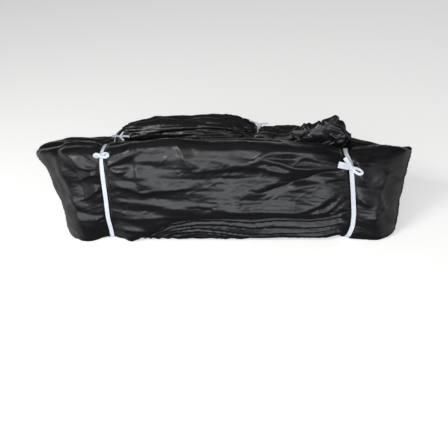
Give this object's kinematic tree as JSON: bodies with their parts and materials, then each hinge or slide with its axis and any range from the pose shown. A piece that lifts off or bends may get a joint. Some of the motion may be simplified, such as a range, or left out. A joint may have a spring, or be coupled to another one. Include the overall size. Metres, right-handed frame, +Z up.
{
  "type": "tubular film refill ring",
  "caption": "Gathered ring of thin black tubular liner film, pressed into two long pleated legs, held by tied white ribbons, with a loose free end.",
  "frame": {"origin": "on the floor under the middle of the whole pack", "axes": "+X along the two legs towards the end where the free film stands, +Y from the front leg to the rear leg, +Z up"},
  "size_m": [0.64, 0.1754, 0.189],
  "materials": {
    "film": "satin",
    "ribbon": "satin"
  },
  "bodies": {
    "front": {"front_pleat_stack": "film", "front_outer_turn": "film", "left_bend_front": "film", "right_bend_front": "film", "tie_front_left_band": "ribbon", "tie_front_left_bow": "ribbon", "tie_front_right_band": "ribbon", "tie_front_right_bow": "ribbon"},
    "rear": {"rear_pleat_stack": "film", "rear_outer_turn": "film", "left_bend_rear": "film", "right_bend_rear": "film", "tie_rear_left_band": "ribbon", "tie_rear_left_bow": "ribbon", "tie_rear_right_band": "ribbon", "tie_rear_right_bow": "ribbon"},
    "free_end": {"free_end": "film"}
  },
  "joints": [
    {"name": "ring_spread", "type": "slide", "parent": "front", "child": "rear", "axis": [0, 1, 0], "range_m": [0, 0.06]},
    {"name": "free_end_payout", "type": "slide", "parent": "front", "child": "free_end", "axis": [0, 0, 1], "range_m": [0, 0.12]}
  ]
}
